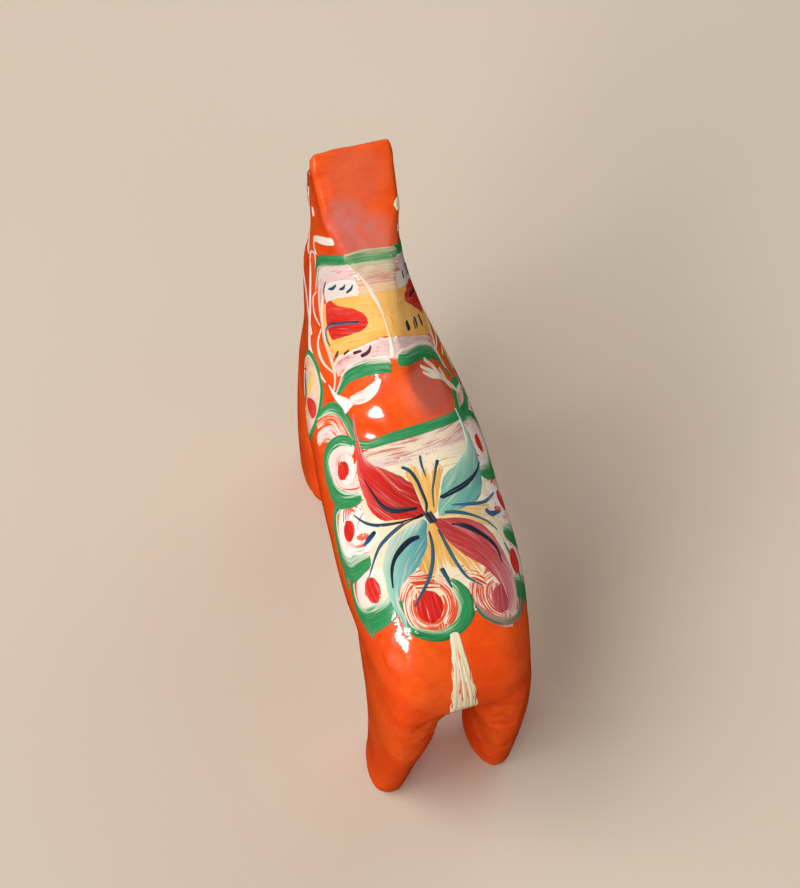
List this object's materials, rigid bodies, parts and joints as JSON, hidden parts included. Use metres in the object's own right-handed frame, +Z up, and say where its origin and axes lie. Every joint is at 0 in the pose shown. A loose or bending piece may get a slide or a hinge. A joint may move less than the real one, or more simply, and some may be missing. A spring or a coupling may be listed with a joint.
{
  "type": "dala horse",
  "caption": "Carved wooden horse figurine with an arched neck, block ears and straight legs, coated orange-red and brush-painted with a floral saddle and mane panel.",
  "frame": {"origin": "on the table under the middle of the horse's bounding box", "axes": "+X towards the nose, +Y towards the horse's left flank, +Z up"},
  "size_m": [0.0645, 0.0198, 0.07],
  "materials": {
    "pine": "bare",
    "paint_orange": "gloss",
    "paint_cream": "gloss",
    "paint_green": "gloss",
    "paint_ochre": "gloss",
    "paint_red": "gloss",
    "paint_teal": "gloss",
    "paint_dark_blue": "gloss",
    "paint_pink_white": "gloss",
    "paint_plum": "gloss",
    "paint_white": "gloss",
    "paint_grey_blue": "gloss"
  },
  "bodies": {
    "root": {"pine_core": "pine", "base_coat": "paint_orange", "saddle_ground": "paint_cream", "saddle_border": "paint_green", "saddle_star": "paint_ochre", "red_petals": "paint_red", "teal_petals": "paint_teal", "petal_veins": "paint_dark_blue", "blue_flourishes": "paint_dark_blue", "flower_center": "paint_dark_blue", "scallop_dots": "paint_red", "mane_ground": "paint_pink_white", "mane_band": "paint_ochre", "mane_top_border": "paint_green", "mane_bottom_border": "paint_green", "mane_tulips": "paint_red", "mane_blue_ticks": "paint_dark_blue", "mane_purple_ticks": "paint_plum", "crest_line": "paint_white", "bridle_lines": "paint_white", "reins": "paint_white", "scrolls": "paint_white", "shoulder_ground": "paint_pink_white", "shoulder_border": "paint_green", "shoulder_red": "paint_red", "shoulder_yellow": "paint_ochre", "shoulder_blue": "paint_grey_blue", "eyes": "paint_white", "pupils": "paint_dark_blue", "mouth_lines": "paint_dark_blue", "tail_stroke": "paint_cream"}
  },
  "joints": []
}
